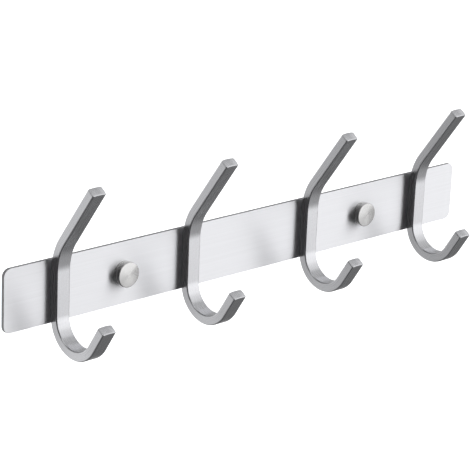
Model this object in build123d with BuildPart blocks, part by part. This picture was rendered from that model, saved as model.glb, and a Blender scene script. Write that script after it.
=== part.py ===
from build123d import *
from math import cos, radians, sin
import os

# Wall hook rack: a flat stainless rail with four double hooks bent from rectangular bar.
# Origin at the centre of the rail's back face, which lies on the wall. +X runs along the
# rail, +Z is up and the front faces -Y. All sizes are in millimetres.

# Rail
rail_length = 386.0
rail_height = 40.0
rail_thickness = 2.0
rail_corner_radius = 5.0
rail_edge_radius = 0.3

# Hooks: rectangular bar, standing on edge against the rail
hook_count = 4
hook_pitch = 102.5
bar_width = 10.0
bar_depth = 6.0
bar_edge_radius = 0.8
end_crown_radius = 18.0
end_edge_radius = 0.4

# Upper bend and arm: radii are those of the bar's centre line
bend_start_z = 13.0
bend_radius = 34.0
arm_lean = 35.5
arm_length = 44.5

# Lower J
curl_start_z = -15.0
curl_radius = 19.0
tip_lean = 32.5
tip_length = 16.0

# Hook screws: M3 countersunk, driven from behind the rail
hook_screw_radius = 1.5
hook_screw_head_radius = 2.75
hook_screw_length = 6.0
hook_screw_spacing = 16.0
hook_screw_point = 0.3
hook_screw_clearance = 0.1
hook_screw_hole_radius = 1.52
hook_screw_hole_depth = 4.6
hook_screw_recess = (3.0, 0.6, 0.9)
countersink_angle = 90.0

# Wall fixings: a clamped base ring, a screw-on cap over it and a wall screw inside
fixing_x = 103.0
base_flange_radius = 7.7
base_flange_thickness = 1.5
base_floor_thickness = 1.2
base_boss_radius = 5.9
base_boss_height = 2.5
base_recess_radius = 4.8
base_edge_radius = 0.3
cap_gap = 0.4
cap_radius = 8.0
cap_neck_radius = 7.7
cap_bore_radius = 6.2
cap_height = 3.5
cap_rim_height = 2.0
cap_face_thickness = 1.1
cap_dome_height = 0.35
cap_rim_radius = 0.5
wall_hole_radius = 2.4

# Wall screws: pan head, cross recess
wall_screw_radius = 2.0
wall_screw_neck_radius = 1.8
wall_screw_length = 35.0
wall_screw_point = 4.0
wall_screw_head_radius = 4.0
wall_screw_head_height = 2.6
wall_screw_head_edge_radius = 0.9
wall_screw_recess = (4.4, 0.9, 1.4)

# Places worked out from the sizes above
rail_front = -rail_thickness
bar_back = rail_front
bar_centre = bar_back - bar_depth / 2
half_depth = bar_depth / 2
hook_places = [(index - (hook_count - 1) / 2) * hook_pitch for index in range(hook_count)]
screw_middle_z = (bend_start_z + curl_start_z) / 2
hook_screw_heights = {
    "upper": screw_middle_z + hook_screw_spacing / 2,
    "lower": screw_middle_z - hook_screw_spacing / 2,
}
wall_places = {"left": -fixing_x, "right": fixing_x}


def write(piece, name):
    """Label a finished piece and write it as one STEP file."""
    piece.part.label = name
    export_step(piece.part, f"parts/{name}.step")


def front_plane(x, y, z=0.0):
    """A plane at one place whose normal points out of the rail's front."""
    return Plane(origin=(x, y, z), x_dir=(1, 0, 0), z_dir=(0, -1, 0))


def make_rail():
    """The flat rail: holes for the wall screws and countersunk holes for the hook screws."""
    with BuildPart() as rail:
        with BuildSketch(front_plane(0, 0)):
            RectangleRounded(rail_length, rail_height, rail_corner_radius)
        extrude(amount=rail_thickness)
        outline = rail.faces().sort_by(Axis.Y)[0].outer_wire().edges()
        fillet(outline, rail_edge_radius)
        for x in wall_places.values():
            with Locations(front_plane(x, rail_front)):
                Hole(radius=wall_hole_radius)
        for x in hook_places:
            for z in hook_screw_heights.values():
                with Locations(Plane(origin=(x, 0, z), x_dir=(1, 0, 0), z_dir=(0, 1, 0))):
                    CounterSinkHole(
                        radius=hook_screw_radius + hook_screw_clearance,
                        counter_sink_radius=hook_screw_head_radius + hook_screw_clearance,
                        counter_sink_angle=countersink_angle,
                    )
    write(rail, "back_plate")


def path_point(centre, radius, turn, side, sign):
    """A point on a bend in the (Y, Z) plane. turn is in degrees from the stem, side is the
    distance from the centre line towards the front, sign is +1 for the upper bend."""
    reach = radius - side
    return (centre[0] + reach * cos(radians(turn)), centre[1] + sign * reach * sin(radians(turn)))


def straight_end(start, lean, length):
    """The far end of a straight stretch that leans out from vertical, towards the front."""
    return (start[0] - length * sin(radians(lean)), start[1] + length * cos(radians(lean)))


def end_waste(end, lean):
    """What is ground off one end of the bar: all that lies outside a large ball."""
    half_diagonal = (bar_width**2 + bar_depth**2) ** 0.5 / 2
    reach = 2 * bar_width
    rise = end_crown_radius - (end_crown_radius**2 - half_diagonal**2) ** 0.5
    drop = end_crown_radius - (end_crown_radius**2 - bar_width**2) ** 0.5
    top = (0, rise)
    edge = (bar_width, rise - drop)
    outward = (0, -cos(radians(lean)), -sin(radians(lean)))
    along = (0, -sin(radians(lean)), cos(radians(lean)))
    origin = (0, end[0], end[1])
    with BuildPart() as waste:
        with BuildSketch(Plane(origin=origin, x_dir=(1, 0, 0), z_dir=outward)):
            with BuildLine():
                RadiusArc(top, edge, end_crown_radius)
                Polyline(edge, (bar_width, reach), (0, reach), top)
            make_face()
        revolve(axis=Axis(origin, along))
    return waste.part


def make_hook(x):
    """One double hook: an upper arm, a stem on the rail and a lower J, from one bent bar."""
    upper_centre = (bar_centre - bend_radius, bend_start_z)
    lower_centre = (bar_centre - curl_radius, curl_start_z)
    curl_turn = 180.0 - tip_lean
    crown_allowance = 2.0
    arm_reach = arm_length + crown_allowance
    tip_reach = tip_length + crown_allowance

    def upper(turn, side):
        return path_point(upper_centre, bend_radius, turn, side, 1)

    def lower(turn, side):
        return path_point(lower_centre, curl_radius, turn, side, -1)

    arm_front = upper(arm_lean, half_depth)
    arm_back = upper(arm_lean, -half_depth)
    tip_front = lower(curl_turn, half_depth)
    tip_back = lower(curl_turn, -half_depth)
    arm_waste = end_waste(straight_end(upper(arm_lean, 0), arm_lean, arm_length), arm_lean)
    tip_waste = end_waste(straight_end(lower(curl_turn, 0), tip_lean, tip_length), tip_lean)
    with BuildPart() as hook:
        with BuildSketch(Plane.YZ):
            with BuildLine():
                ThreePointArc(arm_back, upper(arm_lean / 2, -half_depth), upper(0, -half_depth))
                Line(upper(0, -half_depth), lower(0, -half_depth))
                ThreePointArc(lower(0, -half_depth), lower(curl_turn / 2, -half_depth), tip_back)
                Polyline(
                    tip_back,
                    straight_end(tip_back, tip_lean, tip_reach),
                    straight_end(tip_front, tip_lean, tip_reach),
                    tip_front,
                )
                ThreePointArc(tip_front, lower(curl_turn / 2, half_depth), lower(0, half_depth))
                Line(lower(0, half_depth), upper(0, half_depth))
                ThreePointArc(upper(0, half_depth), upper(arm_lean / 2, half_depth), arm_front)
                Polyline(
                    arm_front,
                    straight_end(arm_front, arm_lean, arm_reach),
                    straight_end(arm_back, arm_lean, arm_reach),
                    arm_back,
                )
            make_face()
        extrude(amount=bar_width / 2, both=True)
        sides = hook.faces().filter_by(Axis.X)
        ends = sides.edges().filter_by(GeomType.LINE)
        across = [edge for edge in ends if abs(edge.length - bar_depth) < 0.01]
        fillet([edge for edge in sides.edges() if edge not in across], bar_edge_radius)
        add([arm_waste, tip_waste], mode=Mode.SUBTRACT)
        fillet(hook.faces().filter_by(GeomType.SPHERE).edges(), end_edge_radius)
        for z in hook_screw_heights.values():
            with Locations(Plane(origin=(0, bar_back, z), x_dir=(1, 0, 0), z_dir=(0, 1, 0))):
                Hole(radius=hook_screw_hole_radius, depth=hook_screw_hole_depth)
    hook.part.position = (x, 0, 0)
    return hook


def make_hook_screw(x, z):
    """A countersunk machine screw, its head just under the rail's back face."""
    head = hook_screw_head_radius
    shank = hook_screw_radius
    under_head = hook_screw_clearance + head - shank
    end = hook_screw_clearance + hook_screw_length
    length, width, depth = hook_screw_recess
    with BuildPart() as screw:
        with BuildSketch(Plane(origin=(x, 0, z), x_dir=(1, 0, 0), z_dir=(0, 0, 1))):
            with BuildLine():
                Polyline(
                    (0, -hook_screw_clearance),
                    (head, -hook_screw_clearance),
                    (shank, -under_head),
                    (shank, hook_screw_point - end),
                    (shank - hook_screw_point, -end),
                    (0, -end),
                    close=True,
                )
            make_face()
        revolve(axis=Axis((x, 0, z), (0, 1, 0)))
        head_top = Plane(origin=(x, -hook_screw_clearance, z), x_dir=(1, 0, 0), z_dir=(0, 1, 0))
        with BuildSketch(head_top):
            Rectangle(length, width)
            Rectangle(width, length)
        extrude(amount=-depth, mode=Mode.SUBTRACT)
    return screw


def make_cap_base(x):
    """The ring that the wall screw clamps: a flange, a boss for the cap and a recess for the head."""
    with BuildPart() as base:
        with BuildSketch(front_plane(x, rail_front)):
            Circle(base_flange_radius)
        extrude(amount=base_flange_thickness)
        front_rim = base.edges().filter_by(GeomType.CIRCLE).sort_by(Axis.Y)[0]
        fillet(front_rim, base_edge_radius)
        with BuildSketch(front_plane(x, rail_front - base_flange_thickness)):
            Circle(base_boss_radius)
        extrude(amount=base_boss_height)
        with BuildSketch(front_plane(x, rail_front - base_floor_thickness)):
            Circle(base_recess_radius)
        extrude(amount=base_flange_thickness + base_boss_height, mode=Mode.SUBTRACT)
        with Locations(front_plane(x, rail_front)):
            Hole(radius=wall_hole_radius)
    return base


def make_cap(x):
    """The cover cap: a skirt that clears the boss and tapers to a neck, a rounded rim and a
    slightly domed face."""
    skirt_end = rail_front - base_flange_thickness - cap_gap
    face = skirt_end - cap_height
    flat_radius = cap_radius - cap_rim_radius
    bore = cap_bore_radius
    bore_end = face + cap_face_thickness
    rim_end = face + cap_rim_height
    rim_middle = cap_rim_radius * (1 - cos(radians(45)))
    dome_radius = (flat_radius**2 + cap_dome_height**2) / (2 * cap_dome_height)
    with BuildPart() as cap:
        with BuildSketch(Plane(origin=(x, 0, 0), x_dir=(1, 0, 0), z_dir=(0, 0, 1))):
            with BuildLine():
                Polyline(
                    (bore, skirt_end),
                    (cap_neck_radius, skirt_end),
                    (cap_radius, rim_end),
                    (cap_radius, face + cap_rim_radius),
                )
                ThreePointArc(
                    (cap_radius, face + cap_rim_radius),
                    (cap_radius - rim_middle, face + rim_middle),
                    (flat_radius, face),
                )
                RadiusArc((flat_radius, face), (0, face - cap_dome_height), dome_radius)
                Polyline((0, face - cap_dome_height), (0, bore_end), (bore, bore_end), (bore, skirt_end))
            make_face()
        revolve(axis=Axis((x, 0, 0), (0, 1, 0)))
    return cap


def make_wall_screw(x):
    """A pan-head screw whose head sits in the base ring and whose shank leaves the rail's back."""
    seat = rail_front - base_floor_thickness
    shank = wall_screw_radius
    head = wall_screw_head_radius
    tip = seat + wall_screw_length
    length, width, depth = wall_screw_recess
    with BuildPart() as screw:
        with BuildSketch(Plane(origin=(x, 0, 0), x_dir=(1, 0, 0), z_dir=(0, 0, 1))):
            with BuildLine():
                Polyline(
                    (0, seat - wall_screw_head_height),
                    (head, seat - wall_screw_head_height),
                    (head, seat),
                    (wall_screw_neck_radius, seat),
                    (wall_screw_neck_radius, 0),
                    (shank, 0),
                    (shank, tip - wall_screw_point),
                    (0, tip),
                    close=True,
                )
            make_face()
        revolve(axis=Axis((x, 0, 0), (0, 1, 0)))
        head_rim = screw.edges().filter_by(GeomType.CIRCLE).sort_by(Axis.Y)[0]
        fillet(head_rim, wall_screw_head_edge_radius)
        with BuildSketch(front_plane(x, seat - wall_screw_head_height)):
            Rectangle(length, width)
            Rectangle(width, length)
        extrude(amount=-depth, mode=Mode.SUBTRACT)
    return screw


os.makedirs("parts", exist_ok=True)
make_rail()
for number, x in enumerate(hook_places, start=1):
    write(make_hook(x), f"hook_{number}")
    for level, z in hook_screw_heights.items():
        write(make_hook_screw(x, z), f"hook_{number}_{level}_screw")
for side, x in wall_places.items():
    write(make_cap_base(x), f"{side}_cap_base")
    write(make_cap(x), f"{side}_cap")
    write(make_wall_screw(x), f"{side}_wall_screw")
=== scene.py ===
from math import ceil, cos, hypot, pi, radians, sin, sqrt, tan

import bmesh
import bpy
from mathutils import Matrix, Vector


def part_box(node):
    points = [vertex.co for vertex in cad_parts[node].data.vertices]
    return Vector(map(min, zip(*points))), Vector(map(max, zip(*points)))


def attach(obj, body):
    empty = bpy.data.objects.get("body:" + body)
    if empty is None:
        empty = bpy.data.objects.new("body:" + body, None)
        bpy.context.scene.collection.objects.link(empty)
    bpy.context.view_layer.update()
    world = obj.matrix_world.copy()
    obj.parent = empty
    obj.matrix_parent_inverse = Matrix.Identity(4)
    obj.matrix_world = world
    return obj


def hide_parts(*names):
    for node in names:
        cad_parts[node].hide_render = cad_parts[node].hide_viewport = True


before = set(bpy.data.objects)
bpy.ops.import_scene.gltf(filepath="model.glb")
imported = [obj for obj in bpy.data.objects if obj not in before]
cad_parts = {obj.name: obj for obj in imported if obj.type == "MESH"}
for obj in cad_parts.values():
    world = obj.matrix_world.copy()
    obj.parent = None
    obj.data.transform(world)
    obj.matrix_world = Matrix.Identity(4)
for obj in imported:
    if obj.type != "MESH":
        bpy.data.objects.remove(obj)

bl_info = {
    "name": "Wall hook rack",
    "version": (1, 0, 0),
    "blender": (4, 5, 0),
    "location": "View3D > Sidebar > Hook rack",
    "description": "Builds the pieces of a stainless wall hook rack around its frame, and a studio for it",
    "category": "Object",
}

MM = 0.001
ACROSS_BAR = Vector((1, 0, 0))  # the bar's width runs along the rail
SIDES = ("left", "right")
ON_AXIS = 1e-7  # a lathe point nearer to its axis than this, in metres, is a single pole
DEBURRED = 0.1 * MM  # rounding of edges that are only deburred
SHARP_ANGLE = radians(35)  # screw edges sharper than this aren't smoothed over
HOOKS = sorted(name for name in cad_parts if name.removeprefix("hook_").isdigit())
HOOK_SCREWS = sorted(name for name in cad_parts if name.startswith("hook_") and name.endswith("_screw"))
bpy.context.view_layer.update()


# ------------------------------------------------------------------------- properties


def linear(hex_colour):
    """An sRGB hex colour as linear red, green and blue."""
    values = [int(hex_colour[place : place + 2], 16) / 255 for place in (1, 3, 5)]
    return tuple(v / 12.92 if v <= 0.04045 else ((v + 0.055) / 1.055) ** 2.4 for v in values)


def size_of(name, description, millimetres):
    """A length, given in millimetres and shown in the scene's unit."""
    return bpy.props.FloatProperty(
        name=name, description=description, default=millimetres * MM, unit="LENGTH", precision=5
    )


def angle_of(name, description, degrees):
    """An angle, given and shown in degrees."""
    return bpy.props.FloatProperty(
        name=name, description=description, default=radians(degrees), unit="ROTATION"
    )


def colour_of(name, description, hex_colour):
    """A colour, given as sRGB hex and shown as a swatch."""
    return bpy.props.FloatVectorProperty(
        name=name, description=description, default=linear(hex_colour), subtype="COLOR", min=0, max=1
    )


class RackHookSettings(bpy.types.PropertyGroup):
    """One double hook, bent from rectangular bar. Bend radii are those of the bar's centre line."""

    width: size_of("Bar width", "Width of the bar along the rail", 10)
    depth: size_of("Bar depth", "Thickness of the bar away from the wall", 6)
    edge: size_of("Edge radius", "Rounding of the bar's long edges", 0.8)
    bend_start: size_of("Upper bend start", "Height above the rail's middle where the upper bend starts", 13)
    bend_radius: size_of("Upper bend radius", "Radius of the bend under the arm", 34)
    arm_lean: angle_of("Arm lean", "How far the arm leans out from vertical", 35.5)
    arm_length: size_of("Arm length", "Straight stretch of the arm", 44.5)
    curl_start: size_of("Curl start", "Depth below the rail's middle where the curl starts", 15)
    curl_radius: size_of("Curl radius", "Radius of the lower curl", 19)
    tip_lean: angle_of("Tip lean", "How far the lower tip leans out from vertical", 32.5)
    tip_length: size_of("Tip length", "Straight stretch of the lower tip", 16)
    crown: size_of("End crown", "Radius of the ball that the bar's ends are ground to", 18)
    end_edge: size_of("End edge", "Rounding of the edge round each ground end", 0.4)


class RackFixingSettings(bpy.types.PropertyGroup):
    """The clamped base rings and the caps that screw on over them."""

    flange: size_of("Flange", "Thickness of the base ring's flange", 1.5)
    floor: size_of("Floor", "Thickness of the base ring under the screw's head", 1.2)
    boss: size_of("Boss radius", "Outer radius of the threaded boss", 5.9)
    recess: size_of("Recess radius", "Radius of the hollow that holds the screw's head", 4.8)
    hole: size_of("Hole radius", "Radius of the hole for the wall screw", 2.4)
    bore: size_of("Cap bore", "Radius of the hollow inside the cap", 6.2)
    neck: size_of("Cap neck", "Outer radius of the cap where it meets the base ring", 7.7)
    rim_height: size_of("Rim height", "Height of the straight part of the cap's side", 2.0)
    face: size_of("Cap face", "Thickness of the cap's face at its rim", 1.1)
    dome: size_of("Cap dome", "Height of the dome on the cap's face", 0.35)
    rim: size_of("Cap rim", "Rounding of the cap's rim", 0.5)
    boss_pitch: size_of("Boss pitch", "Pitch of the fine thread on the boss", 0.75)
    boss_thread: size_of("Boss thread", "Depth of the fine thread on the boss", 0.3)


class RackScrewSettings(bpy.types.PropertyGroup):
    """The wall screws inside the caps and the small screws behind the hooks."""

    shank: size_of("Wall screw radius", "Radius over the wall screw's thread", 2.0)
    pitch: size_of("Wall screw pitch", "Rise of the wall screw's thread in one turn", 1.8)
    thread: size_of("Wall screw thread", "Depth of the wall screw's thread", 0.5)
    point: size_of("Wall screw point", "Length of the wall screw's point", 4)
    head_height: size_of("Head height", "Height of the wall screw's pan head", 2.6)
    head_edge: size_of("Head edge", "Rounding of the pan head", 0.9)
    recess_length: size_of("Recess length", "Length of each arm of the pan head's cross", 4.4)
    recess_width: size_of("Recess width", "Width of each arm of the pan head's cross", 0.9)
    recess_depth: size_of("Recess depth", "Depth of the pan head's cross", 1.4)
    small_shank: size_of("Hook screw radius", "Radius of the screws behind the hooks", 1.5)
    small_recess_length: size_of("Small recess length", "Length of each arm of the small cross", 3.0)
    small_recess_width: size_of("Small recess width", "Width of each arm of the small cross", 0.6)
    small_recess_depth: size_of("Small recess depth", "Depth of the small cross", 0.9)


class RackFinishSettings(bpy.types.PropertyGroup):
    """Colours of the five steel finishes and of the floor."""

    rail: colour_of("Rail", "Long-grained stainless sheet of the rail", "#F3F3F5")
    hook: colour_of("Hooks", "Linished stainless bar of the hooks", "#C2C2C4")
    cap: colour_of("Caps", "Turned stainless of the caps", "#BFBEBD")
    ring: colour_of("Base rings", "Turned stainless of the base rings", "#D0D0CE")
    screw: colour_of("Screws", "Passivated stainless of the screws", "#C4C3C0")
    floor: colour_of("Floor", "Pale studio floor", "#F4F4F4")


class RackStageSettings(bpy.types.PropertyGroup):
    """The camera and the floor."""

    aim: bpy.props.FloatVectorProperty(
        name="Aim",
        description="The point that the camera looks at",
        default=(-33.3 * MM, -25 * MM, 16.8 * MM),
        subtype="TRANSLATION",
        precision=5,
    )
    azimuth: angle_of("Azimuth", "The camera's turn from straight ahead", -43.37)
    elevation: angle_of("Elevation", "The camera's height above the horizon", 18.09)
    roll: angle_of("Roll", "The camera's tilt about its own axis", 2.41)
    distance: size_of("Distance", "The camera's distance from its aim", 1324.7)
    lens: bpy.props.FloatProperty(
        name="Lens", description="Focal length in millimetres on a 36 mm sensor", default=164.7, unit="CAMERA"
    )
    floor_depth: size_of("Floor depth", "How far the floor lies below the rail's middle", 1200)
    floor_width: size_of("Floor width", "Width of the floor", 60000)


# ------------------------------------------------------------------------- nodes and meshes


def put(tree, kind, inputs=(), **settings):
    """Adds a node with its settings. inputs gives each socket a value or another node's output."""
    node = tree.nodes.new(kind)
    for name, value in settings.items():
        setattr(node, name, value)
    for key, value in dict(inputs).items():
        if isinstance(value, bpy.types.NodeSocket):
            tree.links.new(value, node.inputs[key])
        else:
            node.inputs[key].default_value = value
    return node


def softened(corners, steps=5, flat=0.12 * MM):
    """An outline with rounded corners, each given as (x, y, radius). A point on each flat, close
    to the arc's end, keeps the flats flat under smooth shading."""
    outline = []
    for index, (x, y, radius) in enumerate(corners):
        here = Vector((x, y))
        if not radius:
            outline.append(here)
            continue
        before = (Vector(corners[index - 1][:2]) - here).normalized()
        after = (Vector(corners[(index + 1) % len(corners)][:2]) - here).normalized()
        half = before.angle(after) / 2
        centre = here + (before + after).normalized() * radius / sin(half)
        start = here + before * radius / tan(half)
        end = here + after * radius / tan(half)
        outline.append(start + before * flat)
        for step in range(steps + 1):
            outline.append(centre + radius * (start - centre).slerp(end - centre, step / steps))
        outline.append(end + after * flat)
    return outline


def divided(outline, longest):
    """A closed outline with its long flats cut into steps of up to a given length."""
    points = []
    for index, here in enumerate(outline):
        beyond = outline[(index + 1) % len(outline)]
        count = max(ceil((beyond - here).length / longest), 1)
        points += [here.lerp(beyond, step / count) for step in range(count)]
    return points


def new_piece(name, vertices, edges, faces):
    """A mesh object at the origin, linked to the scene, with its faces pointing outwards."""
    mesh = bpy.data.meshes.new(name)
    mesh.from_pydata(vertices, edges, faces)
    if faces:
        edit = bmesh.new()
        edit.from_mesh(mesh)
        bmesh.ops.recalc_face_normals(edit, faces=edit.faces)
        edit.to_mesh(mesh)
        edit.free()
    piece = bpy.data.objects.new(name, mesh)
    bpy.context.scene.collection.objects.link(piece)
    return piece


def add_attribute(piece, name, kind, values):
    """Gives each vertex of a piece a number (FLOAT) or a vector (FLOAT_VECTOR)."""
    data = piece.data.attributes.new(name, kind, "POINT").data
    if kind == "FLOAT":
        data.foreach_set("value", values)
    else:
        data.foreach_set("vector", [part for value in values for part in value])


def turned(name, axis, outline, closed=False, segments=96):
    """A lathe piece about a line along Y. outline holds (radius, y), or (radius, y, thread) where
    a thread is cut. Its vertices keep their place about the axis for the turned grain."""
    vertices, threads, faces, rings = [], [], [], []
    for point in outline:
        radius, y, thread = (*point, 0.0)[:3]
        count = segments if radius > ON_AXIS else 1
        rings.append(range(len(vertices), len(vertices) + count))
        for step in range(count):
            turn = 2 * pi * step / count
            vertices.append((radius * sin(turn), y, radius * cos(turn)))
            threads.append(thread)
    pairs = list(zip(rings, rings[1:])) + ([(rings[-1], rings[0])] if closed else [])
    for near, far in pairs:
        for step in range(segments):
            corners = [near[step % len(near)], near[(step + 1) % len(near)]]
            corners += [far[(step + 1) % len(far)], far[step % len(far)]]
            faces.append(list(dict.fromkeys(corners)))
    piece = new_piece(name, vertices, [], faces)
    add_attribute(piece, "about_axis", "FLOAT_VECTOR", vertices)
    add_attribute(piece, "thread", "FLOAT", threads)
    piece.data.transform(Matrix.Translation(axis))
    return piece


def lathe_axis(low, high):
    """Where the axis of a round piece crosses the wall plane, from the corners of its box."""
    return Vector(((low.x + high.x) / 2, 0, (low.z + high.z) / 2))


def evaluated_mesh(piece):
    """The mesh that a piece's modifiers make, as plain data."""
    bpy.context.view_layer.update()
    graph = bpy.context.evaluated_depsgraph_get()
    return bpy.data.meshes.new_from_object(
        piece.evaluated_get(graph), preserve_all_data_layers=True, depsgraph=graph
    )


def grown(piece, tree, **values):
    """Runs a geometry tree on a piece and keeps the result as its plain mesh."""
    modifier = piece.modifiers.new(tree.name, "NODES")
    modifier.node_group = tree
    for item in tree.interface.items_tree:
        if item.item_type == "SOCKET" and item.in_out == "INPUT" and item.name in values:
            modifier[item.identifier] = values[item.name]
    mesh = evaluated_mesh(piece)
    piece.modifiers.remove(modifier)
    piece.data = mesh
    mesh.name = piece.name
    return piece


def geometry_tree(name, **inputs):
    """A geometry tree with its named inputs. Returns the tree and the input node's sockets."""
    tree = bpy.data.node_groups.new(name, "GeometryNodeTree")
    tree.interface.new_socket("Geometry", in_out="INPUT", socket_type="NodeSocketGeometry")
    for label, kind in inputs.items():
        tree.interface.new_socket(label, in_out="INPUT", socket_type="NodeSocket" + kind)
    tree.interface.new_socket("Geometry", in_out="OUTPUT", socket_type="NodeSocketGeometry")
    return tree, put(tree, "NodeGroupInput").outputs


def end_tree(tree, geometry, material):
    """Ends a geometry tree: real geometry, smooth faces and the material."""
    real = put(tree, "GeometryNodeRealizeInstances", {"Geometry": geometry})
    smooth = put(tree, "GeometryNodeSetShadeSmooth", {"Geometry": real.outputs[0]})
    dressed = put(tree, "GeometryNodeSetMaterial", {"Geometry": smooth.outputs[0], "Material": material})
    put(tree, "NodeGroupOutput", {"Geometry": dressed.outputs[0]})


def captured(tree, geometry, **fields):
    """Keeps vector fields on a geometry's points, so that they last through a sweep."""
    node = put(tree, "GeometryNodeCaptureAttribute", {"Geometry": geometry})
    for label, field in fields.items():
        node.capture_items.new("VECTOR", label)
        tree.links.new(field, node.inputs[label])
    return node.outputs


def hand_over(piece, body, slot, *nodes):
    """Hangs a finished piece on the empty of the body that it rides on and hides the nodes that it stands
    for. slot, its finish, is not used.
    """
    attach(piece, body)
    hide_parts(*nodes)


def dress(node, material):
    """Gives a carried-over CAD node a material."""
    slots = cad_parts[node].data.materials
    if not slots:
        slots.append(material)
    for index in range(len(slots)):
        slots[index] = material


# ------------------------------------------------------------------------- finishes


SCRATCH_DEPTH = 0.02 * MM
EDGE_SHADE_SHARE = 0.35  # the share of its brightness that the steel keeps under the painted shade on its side-on rim


def new_finish(name):
    """An empty material and its node tree."""
    material = bpy.data.materials.new(name)
    material.use_nodes = True
    material.node_tree.nodes.clear()
    return material, material.node_tree


def grain(tree, place, scale, detail=3.0):
    """Fine scratches as noise on a place whose axes are stretched by scale, in scratches per metre."""
    stretched = put(tree, "ShaderNodeMapping", {"Vector": place, "Scale": scale})
    noise = put(
        tree, "ShaderNodeTexNoise", {"Vector": stretched.outputs[0], "Scale": 1.0, "Detail": detail}
    )
    return noise.outputs["Fac"]


def steel(tree, tint, scratches, tangent, gloss, spread, relief, contrast, edge_shade_mask=None):
    """Bare stainless steel under a grain. scratches run from 0 to 1 about a half: they lighten,
    roughen and raise the surface. gloss is the lowest and highest roughness. tangent points
    across the grain, the way in which fine scratches smear a reflection, and spread is how much.
    The last argument is 1 where painted shade darkens the steel's side-on rim."""
    darker = tuple(part * (1 - contrast) for part in tint)
    lighter = tuple(min(part * (1 + contrast), 1) for part in tint)
    shade = put(
        tree,
        "ShaderNodeMix",
        {"Factor": scratches, 6: (*darker, 1), 7: (*lighter, 1)},
        data_type="RGBA",
    )
    # Painted shade: where the mask is 1, the colour drops to a share of the tint.
    if edge_shade_mask:
        edge_shade_colour = tuple(EDGE_SHADE_SHARE * part for part in tint)
        shade = put(
            tree,
            "ShaderNodeMix",
            {"Factor": edge_shade_mask, 6: shade.outputs[2], 7: (*edge_shade_colour, 1)},
            data_type="RGBA",
        )
    rough = put(tree, "ShaderNodeMapRange", {"Value": scratches, "To Min": gloss[0], "To Max": gloss[1]})
    height = put(
        tree, "ShaderNodeBump", {"Height": scratches, "Strength": relief, "Distance": SCRATCH_DEPTH}
    )
    shader = put(
        tree,
        "ShaderNodeBsdfPrincipled",
        {
            "Base Color": shade.outputs[2],
            "Metallic": 1.0,
            "Roughness": rough.outputs[0],
            "Anisotropic": spread,
            "Tangent": tangent,
            "Normal": height.outputs[0],
        },
    )
    put(tree, "ShaderNodeOutputMaterial", {"Surface": shader.outputs[0]})


def long_grained_sheet(tint):
    """Grade 304 stainless sheet, belt-ground along its length: long faint streaks, and reflections
    that stay sharp sideways and smear up and down."""
    material, tree = new_finish("Stainless sheet, long grain")
    place = put(tree, "ShaderNodeTexCoord").outputs["Object"]
    # Belt scratches are finer than 0.1 mm; drawn coarser, 0.6 mm apart and 120 mm long, so that it shows.
    scratches = grain(tree, place, (1 / 0.12, 1 / 0.003, 1 / 0.0006))
    across_grain = put(tree, "ShaderNodeCombineXYZ", {"Z": 1.0})
    # Painted shade on the sheet's rim: the steel is darker where the surface turns side-on.
    sheet_face, shaded_rim = 0.9, 0.5  # how squarely a surface faces the wall or the room, out of 1
    normal = put(tree, "ShaderNodeNewGeometry").outputs["Normal"]
    facing = put(tree, "ShaderNodeSeparateXYZ", {"Vector": normal}).outputs["Y"]
    squareness = put(tree, "ShaderNodeMath", {0: facing}, operation="ABSOLUTE")
    rim = put(
        tree,
        "ShaderNodeMapRange",
        {"Value": squareness.outputs[0], "From Min": sheet_face, "From Max": shaded_rim},
    )
    steel(
        tree, tint, scratches, across_grain.outputs[0], (0.46, 0.52), 1.0, 0.03, 0.055, rim.outputs[0]
    )
    return material


def linished_bar(tint):
    """Stainless bar, linished along its length after bending: a satin grain that follows the bends,
    with slightly duller, ground ends."""
    material, tree = new_finish("Stainless bar, linished")
    place = put(tree, "ShaderNodeAttribute", attribute_name="bar_place").outputs["Vector"]
    heading = put(tree, "ShaderNodeAttribute", attribute_name="bar_heading").outputs["Vector"]
    # Linishing scratches are finer than 0.1 mm; drawn coarser, 0.6 mm apart and 25 mm long, so that it
    # shows. On the ends only their cross-section shows.
    scratches = grain(tree, place, (1 / 0.0006, 1 / 0.0006, 1 / 0.025))
    normal = put(tree, "ShaderNodeNewGeometry").outputs["Normal"]
    across_grain = put(tree, "ShaderNodeVectorMath", {0: heading, 1: normal}, operation="CROSS_PRODUCT")
    steel(tree, tint, scratches, across_grain.outputs[0], (0.22, 0.33), 0.8, 0.1, 0.12)
    return material


def turned_steel(name, tint, gloss, pitch, contrast):
    """Stainless turned on a lathe: fine rings about the axis, which draw two soft bright fans on a
    face and level lines round a side. pitch is the distance between the rings that show."""
    material, tree = new_finish(name)
    place = put(tree, "ShaderNodeAttribute", attribute_name="about_axis").outputs["Vector"]
    parts = put(tree, "ShaderNodeSeparateXYZ", {"Vector": place})
    level = put(tree, "ShaderNodeCombineXYZ", {"X": parts.outputs["X"], "Z": parts.outputs["Z"]})
    radius = put(tree, "ShaderNodeVectorMath", {0: level.outputs[0]}, operation="LENGTH")
    ring = put(tree, "ShaderNodeCombineXYZ", {"X": radius.outputs["Value"], "Y": parts.outputs["Y"]})
    scratches = grain(tree, ring.outputs[0], (1 / pitch, 1 / pitch, 1.0))
    normal = put(tree, "ShaderNodeNewGeometry").outputs["Normal"]
    round_axis = put(
        tree, "ShaderNodeVectorMath", {0: (0, 1, 0), 1: level.outputs[0]}, operation="CROSS_PRODUCT"
    )
    across_grain = put(
        tree, "ShaderNodeVectorMath", {0: round_axis.outputs[0], 1: normal}, operation="CROSS_PRODUCT"
    )
    steel(tree, tint, scratches, across_grain.outputs[0], gloss, 0.9, 0.12, contrast)
    return material


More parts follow.
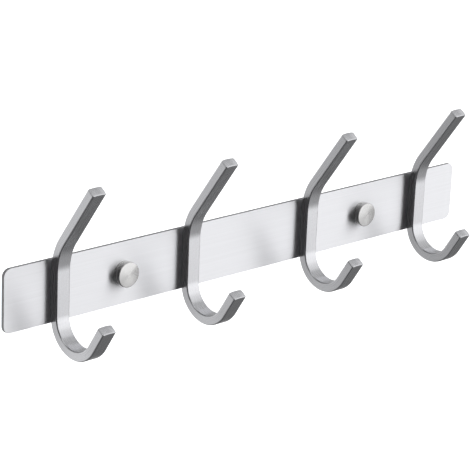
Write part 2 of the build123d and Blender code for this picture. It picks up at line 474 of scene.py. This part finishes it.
def passivated_steel(tint):
    """Stainless screw, cold-formed and passivated: even, a little grey, softly mottled."""
    material, tree = new_finish("Stainless screw, passivated")
    place = put(tree, "ShaderNodeTexCoord").outputs["Object"]
    # Mottling about 0.5 mm across, as left by the pickling bath.
    mottle = grain(tree, place, (1 / 0.0005, 1 / 0.0005, 1 / 0.0005), detail=2.0)
    upright = put(tree, "ShaderNodeCombineXYZ", {"Z": 1.0})
    steel(tree, tint, mottle, upright.outputs[0], (0.28, 0.4), 0.0, 0.08, 0.06)
    return material


MADE = {}


def finish(kind):
    """One of the steel finishes, made when it is first asked for."""
    tints = bpy.context.scene.rack_finish
    if kind not in MADE:
        # Lathe rings are about 0.1 mm apart; drawn coarser so that they show.
        makers = {
            "rail": lambda: long_grained_sheet(tints.rail),
            "hook": lambda: linished_bar(tints.hook),
            "cap": lambda: turned_steel("Stainless cap, turned", tints.cap, (0.2, 0.3), 0.5 * MM, 0.12),
            "ring": lambda: turned_steel("Stainless ring, turned", tints.ring, (0.16, 0.26), 0.4 * MM, 0.05),
            "screw": lambda: passivated_steel(tints.screw),
        }
        MADE[kind] = makers[kind]()
    return MADE[kind]


# ------------------------------------------------------------------------- hooks


def bar_point(hook, run):
    """The centre line in the (Y, Z) plane and its heading. run is the distance up the bar from the
    rail's middle, negative down into the curl; the heading always points up the bar."""
    start, radius, lean = hook.bend_start, hook.bend_radius, hook.arm_lean
    upwards = 1
    if run < 0:
        start, radius, lean = hook.curl_start, hook.curl_radius, pi - hook.tip_lean
        upwards = -1
    bent = max(abs(run) - start, 0)
    turn = min(bent / radius, lean)
    straight = bent - turn * radius
    y = -radius * (1 - cos(turn)) - straight * sin(turn)
    z = min(abs(run), start) + radius * sin(turn) + straight * cos(turn)
    return Vector((0, y, upwards * z)), Vector((0, -upwards * sin(turn), cos(turn)))


def end_rings(hook):
    """The rings that close one end of the bar, from the last full one to the pole, as (inset,
    share, setback): the section moves in by inset, shrinks to share and stands back by setback."""
    edge_turns = (0, 22.5, 45, 67.5, 90)  # degrees round the end's edge
    ball_shares = (0.9, 0.75, 0.6, 0.45, 0.3, 0.15, 0.01)  # over the ground ball, in to the pole
    rings = []
    for turn in edge_turns:
        inset = hook.end_edge * (1 - cos(radians(turn)))
        rings.append((inset, 1.0, hook.end_edge * (1 - sin(radians(turn)))))
    return rings + [(hook.end_edge, share, 0.0) for share in ball_shares]


def bar_rings(hook):
    """Every ring of the bar, from the lower tip to the arm's end, and the runs of its two ends. A
    ring is (run, inset, share, setback, end), where end is -1 or 1 at an end and 0 between."""
    curl = (pi - hook.tip_lean) * hook.curl_radius
    bend = hook.arm_lean * hook.bend_radius
    corner = hypot(hook.width, hook.depth) / 2
    rise = hook.crown - sqrt(hook.crown**2 - corner**2)
    bottom = -(hook.curl_start + curl + hook.tip_length + rise)
    top = hook.bend_start + bend + hook.arm_length + rise
    plain_end = rise + 2 * hook.end_edge  # clear of the ground ball and of its edge
    flat = 0.4 * MM  # a ring this close to each bend keeps the straights flat under smooth shading
    curl_steps, bend_steps = 56, 20
    runs = [bottom + plain_end, -hook.curl_start - curl - flat]
    runs += [-hook.curl_start - curl * (1 - step / curl_steps) for step in range(curl_steps + 1)]
    runs += [flat - hook.curl_start, hook.bend_start - flat]
    runs += [hook.bend_start + bend * step / bend_steps for step in range(bend_steps + 1)]
    runs += [hook.bend_start + bend + flat, top - plain_end]
    spacing = 0.01 * MM  # apart, so that no two points of the path meet
    ends = end_rings(hook)
    lower = [(bottom + spacing * n, *ring, -1) for n, ring in enumerate(reversed(ends))]
    upper = [(top - spacing * (len(ends) - 1 - n), *ring, 1) for n, ring in enumerate(ends)]
    return lower + [(run, 0.0, 1.0, 0.0, 0) for run in runs] + upper, bottom, top


def swept_bar_tree():
    """Sweeps the bar's section along its path and grinds both ends to a ball. The input holds the
    path and the section as two lines; section marks the second. ring is (inset, share, setback),
    run_end_shift is (run, end, distance from that end), and outward is the section's own normal."""
    tree, given = geometry_tree(
        "Swept bar", Crown="Float", Place="Vector", Across="Vector", Finish="Material"
    )
    fields = {
        name: put(tree, "GeometryNodeInputNamedAttribute", {"Name": name}, data_type=kind).outputs[0]
        for name, kind in (
            ("section", "BOOLEAN"),
            ("ring", "FLOAT_VECTOR"),
            ("heading", "FLOAT_VECTOR"),
            ("run_end_shift", "FLOAT_VECTOR"),
            ("outward", "FLOAT_VECTOR"),
        )
    }
    place = put(tree, "GeometryNodeInputPosition").outputs[0]
    lines = put(
        tree, "GeometryNodeSeparateGeometry", {"Geometry": given["Geometry"], "Selection": fields["section"]}
    )
    section_line = put(tree, "GeometryNodeMeshToCurve", {"Mesh": lines.outputs["Selection"]})
    path_line = put(tree, "GeometryNodeMeshToCurve", {"Mesh": lines.outputs["Inverted"]})
    section = captured(tree, section_line.outputs[0], corner=place, outward=fields["outward"])
    path = captured(
        tree,
        path_line.outputs[0],
        centre=place,
        heading=fields["heading"],
        ring=fields["ring"],
        run=fields["run_end_shift"],
    )
    sweep = put(
        tree,
        "GeometryNodeCurveToMesh",
        {"Curve": path["Geometry"], "Profile Curve": section["Geometry"], "Fill Caps": True},
    )
    ring = put(tree, "ShaderNodeSeparateXYZ", {"Vector": path["ring"]}).outputs
    run = put(tree, "ShaderNodeSeparateXYZ", {"Vector": path["run"]}).outputs
    # The section, moved in and shrunk, in its own plane.
    inset = put(tree, "ShaderNodeVectorMath", {0: section["outward"], "Scale": ring["X"]}, operation="SCALE")
    trimmed = put(
        tree, "ShaderNodeVectorMath", {0: section["corner"], 1: inset.outputs[0]}, operation="SUBTRACT"
    )
    offset = put(tree, "ShaderNodeVectorMath", {0: trimmed.outputs[0], "Scale": ring["Y"]}, operation="SCALE")
    # How far the ground ball has dropped below the end's middle: crown - sqrt(crown^2 - offset^2).
    square = put(
        tree, "ShaderNodeVectorMath", {0: offset.outputs[0], 1: offset.outputs[0]}, operation="DOT_PRODUCT"
    )
    crown_square = put(tree, "ShaderNodeMath", {0: given["Crown"], 1: 2.0}, operation="POWER")
    left = put(
        tree, "ShaderNodeMath", {0: crown_square.outputs[0], 1: square.outputs["Value"]}, operation="SUBTRACT"
    )
    root = put(tree, "ShaderNodeMath", {0: left.outputs[0]}, operation="SQRT")
    drop = put(tree, "ShaderNodeMath", {0: given["Crown"], 1: root.outputs[0]}, operation="SUBTRACT")
    back = put(tree, "ShaderNodeMath", {0: drop.outputs[0], 1: ring["Z"]}, operation="ADD")
    # run is (distance up the bar, which end, correction for the rings' spacing).
    inwards = put(tree, "ShaderNodeMath", {0: run["Y"], 1: back.outputs[0]}, operation="MULTIPLY")
    shift = put(tree, "ShaderNodeMath", {0: run["Z"], 1: inwards.outputs[0]}, operation="SUBTRACT")
    along = put(
        tree, "ShaderNodeVectorMath", {0: path["heading"], "Scale": shift.outputs[0]}, operation="SCALE"
    )
    # The section's own axes: across the bar, and heading x across for its depth.
    depthwise = put(
        tree, "ShaderNodeVectorMath", {0: path["heading"], 1: given["Across"]}, operation="CROSS_PRODUCT"
    )
    flat = put(tree, "ShaderNodeSeparateXYZ", {"Vector": offset.outputs[0]}).outputs
    sideways = put(tree, "ShaderNodeVectorMath", {0: given["Across"], "Scale": flat["X"]}, operation="SCALE")
    outwards = put(
        tree, "ShaderNodeVectorMath", {0: depthwise.outputs[0], "Scale": flat["Y"]}, operation="SCALE"
    )
    moved = path["centre"]
    for step in (sideways.outputs[0], outwards.outputs[0], along.outputs[0], given["Place"]):
        moved = put(tree, "ShaderNodeVectorMath", {0: moved, 1: step}, operation="ADD").outputs[0]
    shaped = put(tree, "GeometryNodeSetPosition", {"Geometry": sweep.outputs[0], "Position": moved})
    # For the grain: place across, through and along the bar.
    up_bar = put(tree, "ShaderNodeMath", {0: run["X"], 1: shift.outputs[0]}, operation="ADD")
    bar_place = put(tree, "ShaderNodeCombineXYZ", {"X": flat["X"], "Y": flat["Y"], "Z": up_bar.outputs[0]})
    geometry = shaped.outputs[0]
    for name, value in (("bar_place", bar_place.outputs[0]), ("bar_heading", path["heading"])):
        store = put(
            tree,
            "GeometryNodeStoreNamedAttribute",
            {"Geometry": geometry, "Name": name},
            data_type="FLOAT_VECTOR",
        )
        tree.links.new(value, store.inputs["Value"])
        geometry = store.outputs[0]
    end_tree(tree, geometry, given["Finish"])
    return tree


def bar_lines(name, hook):
    """The bar's path and section as two lines, with what the sweep needs on their points."""
    rings, bottom, top = bar_rings(hook)
    half_width, half_depth = hook.width / 2, hook.depth / 2
    corners = [
        (across * half_width, through * half_depth, hook.edge)
        for across, through in ((1, 1), (-1, 1), (-1, -1), (1, -1))
    ]
    longest_flat = 1.3 * MM
    section = [Vector((*point, 0)) for point in divided(softened(corners, steps=6), longest_flat)]
    places = [bar_point(hook, ring[0]) for ring in rings]
    ends = {-1: bottom, 0: None, 1: top}
    count = len(rings)
    edges = [(n, n + 1) for n in range(count - 1)]
    edges += [(count + n, count + (n + 1) % len(section)) for n in range(len(section))]
    piece = new_piece(name, [place for place, _ in places] + section, edges, [])
    blank = [(0, 0, 0)] * len(section)
    runs = [(run, end, ends[end] - run if end else 0) for run, _, _, _, end in rings]
    normals = [
        (section[(n + 1) % len(section)] - section[n - 1]).cross((0, 0, 1)).normalized()
        for n in range(len(section))
    ]
    add_attribute(piece, "section", "FLOAT", [0.0] * count + [1.0] * len(section))
    add_attribute(piece, "ring", "FLOAT_VECTOR", [ring[1:4] for ring in rings] + blank)
    add_attribute(piece, "heading", "FLOAT_VECTOR", [heading for _, heading in places] + blank)
    add_attribute(piece, "run_end_shift", "FLOAT_VECTOR", runs + blank)
    add_attribute(piece, "outward", "FLOAT_VECTOR", [(0, 0, 0)] * count + normals)
    return piece


class RACK_OT_hooks(bpy.types.Operator):
    """Sweeps the four double hooks along their bends"""

    bl_idname = "rack.hooks"
    bl_label = "Hooks"

    def execute(self, context):
        hook = context.scene.rack_hook
        tree = swept_bar_tree()
        for name in HOOKS:
            low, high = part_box(name)
            place = Vector(((low.x + high.x) / 2, high.y - hook.depth / 2, 0))
            piece = grown(
                bar_lines(name + "_bar", hook),
                tree,
                Crown=hook.crown,
                Place=place,
                Across=ACROSS_BAR,
                Finish=finish("hook"),
            )
            hand_over(piece, "rail", "hook_steel", name)
        return {"FINISHED"}


# ------------------------------------------------------------------------- threads and screws


def thread_tree():
    """Cuts a thread on a lathe piece about a line along Y: each vertex moves in by the thread's
    depth, times its own thread value, except on the crests of a helix."""
    tree, given = geometry_tree("Thread", Pitch="Float", Depth="Float", Finish="Material")
    about = put(
        tree, "GeometryNodeInputNamedAttribute", {"Name": "about_axis"}, data_type="FLOAT_VECTOR"
    ).outputs[0]
    weight = put(tree, "GeometryNodeInputNamedAttribute", {"Name": "thread"}, data_type="FLOAT").outputs[0]
    parts = put(tree, "ShaderNodeSeparateXYZ", {"Vector": about}).outputs
    level = put(tree, "ShaderNodeCombineXYZ", {"X": parts["X"], "Z": parts["Z"]}).outputs[0]
    radial = put(tree, "ShaderNodeVectorMath", {0: level}, operation="NORMALIZE").outputs[0]
    turn = put(tree, "ShaderNodeMath", {0: parts["X"], 1: parts["Z"]}, operation="ARCTAN2").outputs[0]
    turns = put(tree, "ShaderNodeMath", {0: turn, 1: 2 * pi}, operation="DIVIDE").outputs[0]
    rise = put(tree, "ShaderNodeMath", {0: parts["Y"], 1: given["Pitch"]}, operation="DIVIDE").outputs[0]
    phase = put(tree, "ShaderNodeMath", {0: rise, 1: turns}, operation="ADD").outputs[0]
    # Distance from the nearest crest, from 0 on it to 0.5 in the valley between two turns.
    crest_end, valley_start = 0.06, 0.36
    away = put(tree, "ShaderNodeMath", {0: phase, 1: 0.5}, operation="PINGPONG").outputs[0]
    valley = put(
        tree, "ShaderNodeMapRange", {"Value": away, "From Min": crest_end, "From Max": valley_start}
    ).outputs[0]
    cut = put(tree, "ShaderNodeMath", {0: valley, 1: weight}, operation="MULTIPLY").outputs[0]
    depth = put(tree, "ShaderNodeMath", {0: cut, 1: given["Depth"]}, operation="MULTIPLY").outputs[0]
    inwards = put(tree, "ShaderNodeMath", {0: depth, 1: -1.0}, operation="MULTIPLY").outputs[0]
    offset = put(tree, "ShaderNodeVectorMath", {0: radial, "Scale": inwards}, operation="SCALE").outputs[0]
    cut_piece = put(tree, "GeometryNodeSetPosition", {"Geometry": given["Geometry"], "Offset": offset})
    end_tree(tree, cut_piece.outputs[0], given["Finish"])
    return tree


def threaded_run(radius, start, end, pitch, steps=12):
    """Outline points along a thread, with a number of steps in each turn."""
    count = max(round((end - start) / pitch * steps), 2)
    return [(radius, start + (end - start) * step / count, 1.0) for step in range(count + 1)]


def cross_cutter(centre, length, width, depth, outwards):
    """A cross that tapers as it goes in. centre is on the head's top, outwards its normal along Y."""
    arm, half = length / 2, width / 2
    corner = [(half, half), (half, arm), (-half, arm), (-half, half), (-arm, half), (-arm, -half)]
    outline = corner + [(-x, -z) for x, z in corner]
    proud, taper = 0.3 * MM, 0.6  # how far it stands out of the head; its bottom's share of its top
    levels = [(1.0, outwards * proud), (1.0, 0.0), (taper, -outwards * depth)]
    vertices = [centre + Vector((x * share, y, z * share)) for share, y in levels for x, z in outline]
    count = len(outline)
    faces = [list(range(count)), [2 * count + n for n in range(count)]]
    for level in (0, count):
        for n in range(count):
            beside = (n + 1) % count
            faces.append([level + n, level + beside, level + count + beside, level + count + n])
    return new_piece("cross_cutter", vertices, [], faces)


def with_cross(piece, centre, length, width, depth, outwards):
    """Cuts a cross recess in a screw's head."""
    cutter = cross_cutter(centre, length, width, depth, outwards)
    cut = piece.modifiers.new("Cross recess", "BOOLEAN")
    cut.object = cutter
    cut.solver = "EXACT"
    mesh = evaluated_mesh(piece)
    piece.modifiers.remove(cut)
    piece.data = mesh
    bpy.data.objects.remove(cutter)
    return piece


class RACK_OT_wall_screws(bpy.types.Operator):
    """Makes the threaded wall screws inside the base rings"""

    bl_idname = "rack.wall_screws"
    bl_label = "Wall screws"

    def execute(self, context):
        screw = context.scene.rack_screw
        tree = thread_tree()
        under_edge, fillet = 0.15 * MM, 0.3 * MM  # rounding under the head, and where the neck meets it
        for side in SIDES:
            node = side + "_wall_screw"
            low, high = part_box(node)
            axis = lathe_axis(low, high)
            head = (high.x - low.x) / 2
            seat = low.y + screw.head_height
            point = high.y - screw.point
            neck = 0.9 * screw.shank
            runout = 0.6 * screw.pitch
            corners = [(0, low.y, 0), (head, low.y, screw.head_edge)]
            corners += [(head, seat, under_edge), (0, seat, 0)]
            outline = [tuple(corner) for corner in softened(corners)[:-1]]
            outline += [(neck + fillet, seat), (neck, seat + fillet), (neck, -runout)]
            outline += threaded_run(screw.shank, 0, point, screw.pitch)
            last = threaded_run(screw.shank, point, high.y, screw.pitch)[1:]
            for radius, y, _ in last[:-1]:
                left = (high.y - y) / screw.point
                outline.append((radius * left, y, left))
            outline.append((0, high.y))
            piece = turned(side + "_wall_screw_threaded", axis, outline, segments=48)
            grown(piece, tree, Pitch=screw.pitch, Depth=screw.thread, Finish=finish("screw"))
            top = Vector((axis.x, low.y, axis.z))
            with_cross(piece, top, screw.recess_length, screw.recess_width, screw.recess_depth, -1)
            piece.data.set_sharp_from_angle(angle=SHARP_ANGLE)
            hand_over(piece, "rail", "screw_steel", node)
        return {"FINISHED"}


def scatter_tree():
    """Stands one screw on each point of the input."""
    tree, given = geometry_tree("Screws on points", Screw="Object", Finish="Material")
    screw = put(tree, "GeometryNodeObjectInfo", {"Object": given["Screw"]})
    standing = put(
        tree,
        "GeometryNodeInstanceOnPoints",
        {"Points": given["Geometry"], "Instance": screw.outputs["Geometry"]},
    )
    end_tree(tree, standing.outputs[0], given["Finish"])
    return tree


class RACK_OT_hook_screws(bpy.types.Operator):
    """Stands the eight countersunk screws behind the hooks"""

    bl_idname = "rack.hook_screws"
    bl_label = "Hook screws"

    def execute(self, context):
        screw = context.scene.rack_screw
        low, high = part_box(HOOK_SCREWS[0])
        head = (high.x - low.x) / 2
        shank = screw.small_shank
        land = 0.12 * MM  # the short straight side above the cone
        top_edge, land_edge, chamfer = 0.06 * MM, 0.04 * MM, 0.3 * MM
        middle = (low + high) / 2
        top = high.y
        corners = [(0, top, 0), (head, top, top_edge), (head, top - land, land_edge)]
        corners += [(shank, top - land - head + shank, 0), (shank, low.y + chamfer, 0)]
        corners += [(shank - chamfer, low.y, 0), (0, low.y, 0)]
        outline = [tuple(corner) for corner in softened(corners, steps=2, flat=0.03 * MM)]
        template = turned("hook_screw_template", Vector(), outline, segments=32)
        recess = (screw.small_recess_length, screw.small_recess_width, screw.small_recess_depth)
        with_cross(template, Vector((0, top, 0)), *recess, 1)
        centres = [sum(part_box(name), Vector()) / 2 for name in HOOK_SCREWS]
        points = [centre - Vector((0, middle.y, 0)) for centre in centres]
        piece = new_piece("hook_screws", points, [], [])
        grown(piece, scatter_tree(), Screw=template, Finish=finish("screw"))
        bpy.data.objects.remove(template)
        piece.data.set_sharp_from_angle(angle=SHARP_ANGLE)
        hand_over(piece, "rail", "screw_steel", *HOOK_SCREWS)
        return {"FINISHED"}


# ------------------------------------------------------------------------- rail and fixings


class RACK_OT_rail(bpy.types.Operator):
    """Gives the flat rail its long-grained finish"""

    bl_idname = "rack.rail"
    bl_label = "Rail"

    def execute(self, context):
        dress("back_plate", finish("rail"))
        return {"FINISHED"}


class RACK_OT_base_rings(bpy.types.Operator):
    """Turns the base rings, with the fine thread that holds the caps"""

    bl_idname = "rack.base_rings"
    bl_label = "Base rings"

    def execute(self, context):
        fixing = context.scene.rack_fixing
        tree = thread_tree()
        groove_edge, boss_root = 0.3 * MM, 0.05 * MM
        boss_edge, recess_edge = 0.2 * MM, 0.15 * MM
        relief = 0.3 * MM  # plain boss left at each end of the thread
        for side in SIDES:
            node = side + "_cap_base"
            low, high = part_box(node)
            axis = lathe_axis(low, high)
            back, front = high.y, low.y
            step = back - fixing.flange
            seat = back - fixing.floor
            radius = (high.x - low.x) / 2
            corners = [(fixing.hole, back, DEBURRED), (radius, back, DEBURRED)]
            corners += [(radius, step, groove_edge), (fixing.boss, step, boss_root)]
            outside = [tuple(corner) for corner in softened(corners)][:-1]
            corners = [(fixing.boss, front, boss_edge), (fixing.recess, front, recess_edge)]
            corners += [(fixing.recess, seat, DEBURRED), (fixing.hole, seat, DEBURRED)]
            inside = [tuple(corner) for corner in softened(corners)]
            thread = threaded_run(fixing.boss, front + relief, step - relief, fixing.boss_pitch)
            piece = turned(
                side + "_base_ring", axis, outside + thread[::-1] + inside, closed=True, segments=96
            )
            grown(piece, tree, Pitch=fixing.boss_pitch, Depth=fixing.boss_thread, Finish=finish("ring"))
            hand_over(piece, "rail", "cap_base_steel", node)
        return {"FINISHED"}


class RACK_OT_caps(bpy.types.Operator):
    """Turns the domed caps that cover the wall screws"""

    bl_idname = "rack.caps"
    bl_label = "Caps"

    def execute(self, context):
        fixing = context.scene.rack_fixing
        shoulder_edge, bore_edge = 0.2 * MM, 0.2 * MM
        dome_steps, rim_step = 12, 15  # rings over the dome, and degrees between those round the rim
        for side in SIDES:
            node = side + "_cap"
            low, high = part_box(node)
            axis = lathe_axis(low, high)
            radius = (high.x - low.x) / 2
            face = low.y + fixing.dome
            bore_end = face + fixing.face
            dome = radius - fixing.rim
            outline = [(0.0, low.y)]
            for step in range(1, dome_steps):
                share = step / dome_steps
                outline.append((dome * share, face - fixing.dome * (1 - share**2)))
            for turn in range(0, 91, rim_step):
                out, back = sin(radians(turn)), 1 - cos(radians(turn))
                outline.append((dome + fixing.rim * out, face + fixing.rim * back))
            corners = [(radius, face + fixing.rim, 0), (radius, face + fixing.rim_height, shoulder_edge)]
            corners += [(fixing.neck, high.y, DEBURRED), (fixing.bore, high.y, DEBURRED)]
            corners += [(fixing.bore, bore_end, bore_edge), (0, bore_end, 0)]
            outline += [tuple(corner) for corner in softened(corners)][1:]
            piece = turned(side + "_cap_cover", axis, outline, segments=128)
            piece.data.materials.append(finish("cap"))
            piece.data.shade_smooth()
            hand_over(piece, side + "_cap", "cap_steel", node)
        return {"FINISHED"}


# ------------------------------------------------------------------------- stage


def view_axes(stage):
    """The camera's right, up and backward directions."""
    turn, height = stage.azimuth, stage.elevation
    back = Vector((sin(turn) * cos(height), -cos(turn) * cos(height), sin(height)))
    level = Vector((cos(turn), sin(turn), 0))
    upright = back.cross(level)
    right = cos(stage.roll) * level + sin(stage.roll) * upright
    return right, back.cross(right), back


def add_camera(stage):
    """A long lens at the rack's three-quarter view from the left, a little above."""
    right, up, back = view_axes(stage)
    lens = bpy.data.cameras.new("camera")
    lens.lens = stage.lens
    lens.clip_end = 100  # metres, past the floor's corners
    camera = bpy.data.objects.new("camera", lens)
    camera.matrix_world = Matrix((right, up, back)).transposed().to_4x4()
    camera.location = Vector(stage.aim) + back * stage.distance
    bpy.context.scene.collection.objects.link(camera)
    bpy.context.scene.camera = camera


def add_floor(stage, tint):
    """A plain pale floor, far enough below the rack to take no shadow and lit evenly."""
    half = stage.floor_width / 2
    corners = [(x * half, y * half, -stage.floor_depth) for x, y in ((-1, -1), (1, -1), (1, 1), (-1, 1))]
    floor = new_piece("floor", corners, [], [(0, 1, 2, 3)])
    material, tree = new_finish("Matt white studio floor")
    place = put(tree, "ShaderNodeTexCoord").outputs["Object"]
    # Roller-painted board: mottling about 40 mm across, almost even.
    mottle = grain(tree, place, (1 / 0.04, 1 / 0.04, 1 / 0.04), detail=2.0)
    dimmest = 0.97
    shade = put(
        tree,
        "ShaderNodeMix",
        {"Factor": mottle, 6: (*(dimmest * part for part in tint), 1), 7: (*tint, 1)},
        data_type="RGBA",
    )
    shader = put(
        tree,
        "ShaderNodeBsdfPrincipled",
        {
            "Base Color": shade.outputs[2],
            "Roughness": 0.9,
            "Emission Color": (1, 1, 1, 1),
            "Emission Strength": 0.9,
        },
    )
    put(tree, "ShaderNodeOutputMaterial", {"Surface": shader.outputs[0]})
    floor.data.materials.append(material)
    # The rack isn't lit by the floor and doesn't mirror it: the soft surroundings do both.
    floor.visible_glossy = False
    floor.visible_diffuse = False


# The soft surroundings, painted one over the other: a direction, the half-angles in degrees where
# the patch is full and where it has faded out, and its brightness.
ROOM_BRIGHTNESS = 0.58  # between the patches
ROOM_TINT = (0.985, 0.99, 1.0, 1)
ROOM_PATCHES = (
    ("ceiling panel", (0.0, 0.2, 1.0), 20, 75, 0.72),
    ("dark floor in front, low", (-0.1, -0.2, -1.0), 25, 70, 0.12),
    ("dim side, left", (-0.9, 0.2, -0.3), 20, 50, 0.26),
    ("wash on the wall, left", (-0.31, 0.89, -0.32), 10, 36, 1.24),
    ("wash above it", (-0.60, 0.75, 0.30), 10, 30, 0.85),
    ("reflector, low front right", (0.50, -0.50, -0.70), 10, 26, 0.62),
    ("large soft box, front right", (0.575, -0.79, 0.20), 24, 44, 1.84),
    ("soft box above it", (0.58, -0.68, 0.42), 14, 30, 1.66),
    ("soft box, high front", (0.35, -0.62, 0.70), 12, 26, 1.10),
    ("soft box, high right", (0.90, -0.07, 0.43), 10, 26, 1.05),
    ("dark flag, low right", (0.66, 0.06, -0.75), 10, 30, 0.24),
    ("strip box, upper left", (-0.65, -0.07, 0.75), 6, 18, 1.40),
    ("dark flag, left, upper", (-0.72, -0.58, 0.38), 19, 32, 0.03),
    ("dark flag, low left", (-0.59, -0.74, -0.34), 31, 47, 0.002),
)


def add_surroundings():
    """Soft studio light from all round. What the camera sees behind the rack is plain white."""
    world = bpy.data.worlds.new("Soft studio")
    bpy.context.scene.world = world
    world.use_nodes = True
    tree = world.node_tree
    tree.nodes.clear()
    direction = put(tree, "ShaderNodeTexCoord").outputs["Generated"]
    brightness = put(tree, "ShaderNodeValue").outputs[0]
    brightness.default_value = ROOM_BRIGHTNESS
    for label, towards, full, faded, level in ROOM_PATCHES:
        facing = put(
            tree,
            "ShaderNodeVectorMath",
            {0: direction, 1: Vector(towards).normalized()},
            operation="DOT_PRODUCT",
            label=label,
        )
        patch = put(
            tree,
            "ShaderNodeMapRange",
            {
                "Value": facing.outputs["Value"],
                "From Min": cos(radians(faded)),
                "From Max": cos(radians(full)),
            },
            interpolation_type="SMOOTHSTEP",
        )
        brightness = put(
            tree, "ShaderNodeMix", {"Factor": patch.outputs[0], "A": brightness, "B": level}
        ).outputs[0]
    room = put(tree, "ShaderNodeBackground", {"Strength": brightness})
    room.inputs["Color"].default_value = ROOM_TINT
    backdrop = put(tree, "ShaderNodeBackground", {"Color": (1, 1, 1, 1), "Strength": 1.0})
    seen = put(tree, "ShaderNodeLightPath").outputs["Is Camera Ray"]
    mixed = put(tree, "ShaderNodeMixShader", {"Fac": seen, 1: room.outputs[0], 2: backdrop.outputs[0]})
    put(tree, "ShaderNodeOutputWorld", {"Surface": mixed.outputs[0]})


class RACK_OT_stage(bpy.types.Operator):
    """Sets up the camera, the pale floor and the soft surroundings"""

    bl_idname = "rack.stage"
    bl_label = "Stage"

    def execute(self, context):
        stage = context.scene.rack_stage
        add_camera(stage)
        add_floor(stage, context.scene.rack_finish.floor)
        add_surroundings()
        context.scene.view_settings.view_transform = "Standard"
        return {"FINISHED"}


# ------------------------------------------------------------------------- panel and main


STEPS = (
    RACK_OT_rail,
    RACK_OT_hooks,
    RACK_OT_hook_screws,
    RACK_OT_base_rings,
    RACK_OT_wall_screws,
    RACK_OT_caps,
    RACK_OT_stage,
)
SETTINGS = {
    "rack_hook": RackHookSettings,
    "rack_fixing": RackFixingSettings,
    "rack_screw": RackScrewSettings,
    "rack_finish": RackFinishSettings,
    "rack_stage": RackStageSettings,
}


class RACK_PT_panel(bpy.types.Panel):
    """Lists the rack's pieces"""

    bl_idname = "RACK_PT_panel"
    bl_label = "Wall hook rack"
    bl_space_type = "VIEW_3D"
    bl_region_type = "UI"
    bl_category = "Hook rack"

    def draw(self, context):
        for step in STEPS:
            self.layout.operator(step.bl_idname)


def register():
    for kind in (*SETTINGS.values(), *STEPS, RACK_PT_panel):
        bpy.utils.register_class(kind)
    for name, kind in SETTINGS.items():
        setattr(bpy.types.Scene, name, bpy.props.PointerProperty(type=kind))


def unregister():
    for name in SETTINGS:
        delattr(bpy.types.Scene, name)
    for kind in reversed((*SETTINGS.values(), *STEPS, RACK_PT_panel)):
        bpy.utils.unregister_class(kind)


def main():
    register()
    for step in STEPS:
        group, name = step.bl_idname.split(".")
        getattr(getattr(bpy.ops, group), name)()


if __name__ == "__main__":
    main()
